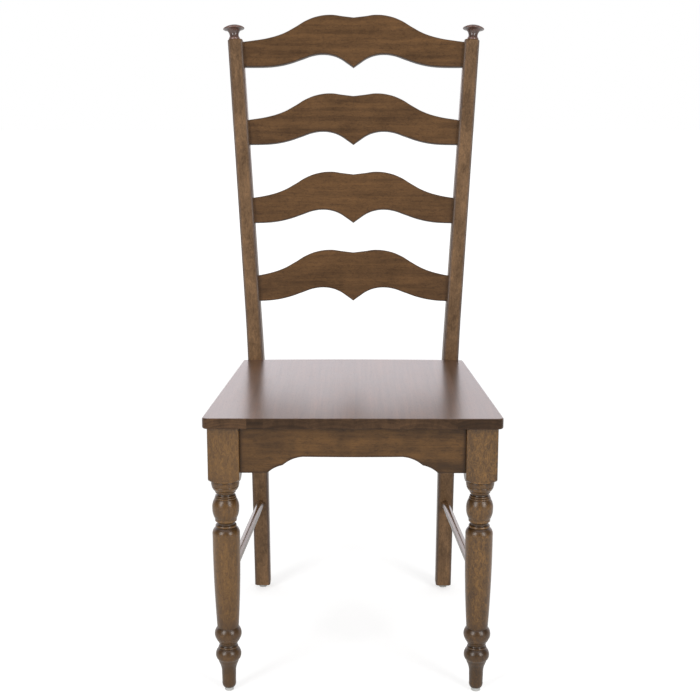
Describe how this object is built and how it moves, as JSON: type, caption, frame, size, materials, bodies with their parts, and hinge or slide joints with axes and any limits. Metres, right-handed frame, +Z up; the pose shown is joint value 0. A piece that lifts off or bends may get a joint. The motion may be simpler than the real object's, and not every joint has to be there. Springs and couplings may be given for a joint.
{
  "type": "ladderback chair",
  "caption": "Wooden side chair with a raked ladder back of scalloped slats, button finials, turned front legs, a flat tapered seat and a scalloped apron.",
  "frame": {"origin": "middle of the chair's footprint box, on the floor under the glides", "axes": "+X to the right as seen from the front, +Y from the front to the back, +Z up"},
  "size_m": [0.4838, 0.5742, 1.0894],
  "materials": {
    "frame_wood": "brown stain under semi-gloss lacquer",
    "seat_wood": "brown stain under semi-gloss lacquer, staves glued front to back",
    "leg_wood": "lighter brown stain under semi-gloss lacquer",
    "finial_wood": "dark reddish brown stain, glossy",
    "inner_wood": "plain, unfinished",
    "glide_plastic": "light grey, matt",
    "nail_steel": "bright steel",
    "screw_steel": "zinc-plated steel"
  },
  "bodies": {
    "root": {"apron_dowels": "inner_wood", "back_post_left": "frame_wood", "back_post_right": "frame_wood", "corner_block_front_left": "inner_wood", "corner_block_front_right": "inner_wood", "corner_block_rear_left": "inner_wood", "corner_block_rear_right": "inner_wood", "corner_block_screws": "screw_steel", "finial_left": "finial_wood", "finial_right": "finial_wood", "front_apron": "frame_wood", "front_leg_left": "leg_wood", "front_leg_right": "leg_wood", "glide_front_left": "glide_plastic", "glide_front_right": "glide_plastic", "glide_nails": "nail_steel", "glide_rear_left": "glide_plastic", "glide_rear_right": "glide_plastic", "ladder_slat_1": "frame_wood", "ladder_slat_2": "frame_wood", "ladder_slat_3": "frame_wood", "ladder_slat_4": "frame_wood", "rear_apron": "frame_wood", "seat_panel": "seat_wood", "seat_screws": "screw_steel", "side_apron_left": "frame_wood", "side_apron_right": "frame_wood", "side_stretcher_left": "frame_wood", "side_stretcher_right": "frame_wood"}
  },
  "joints": []
}
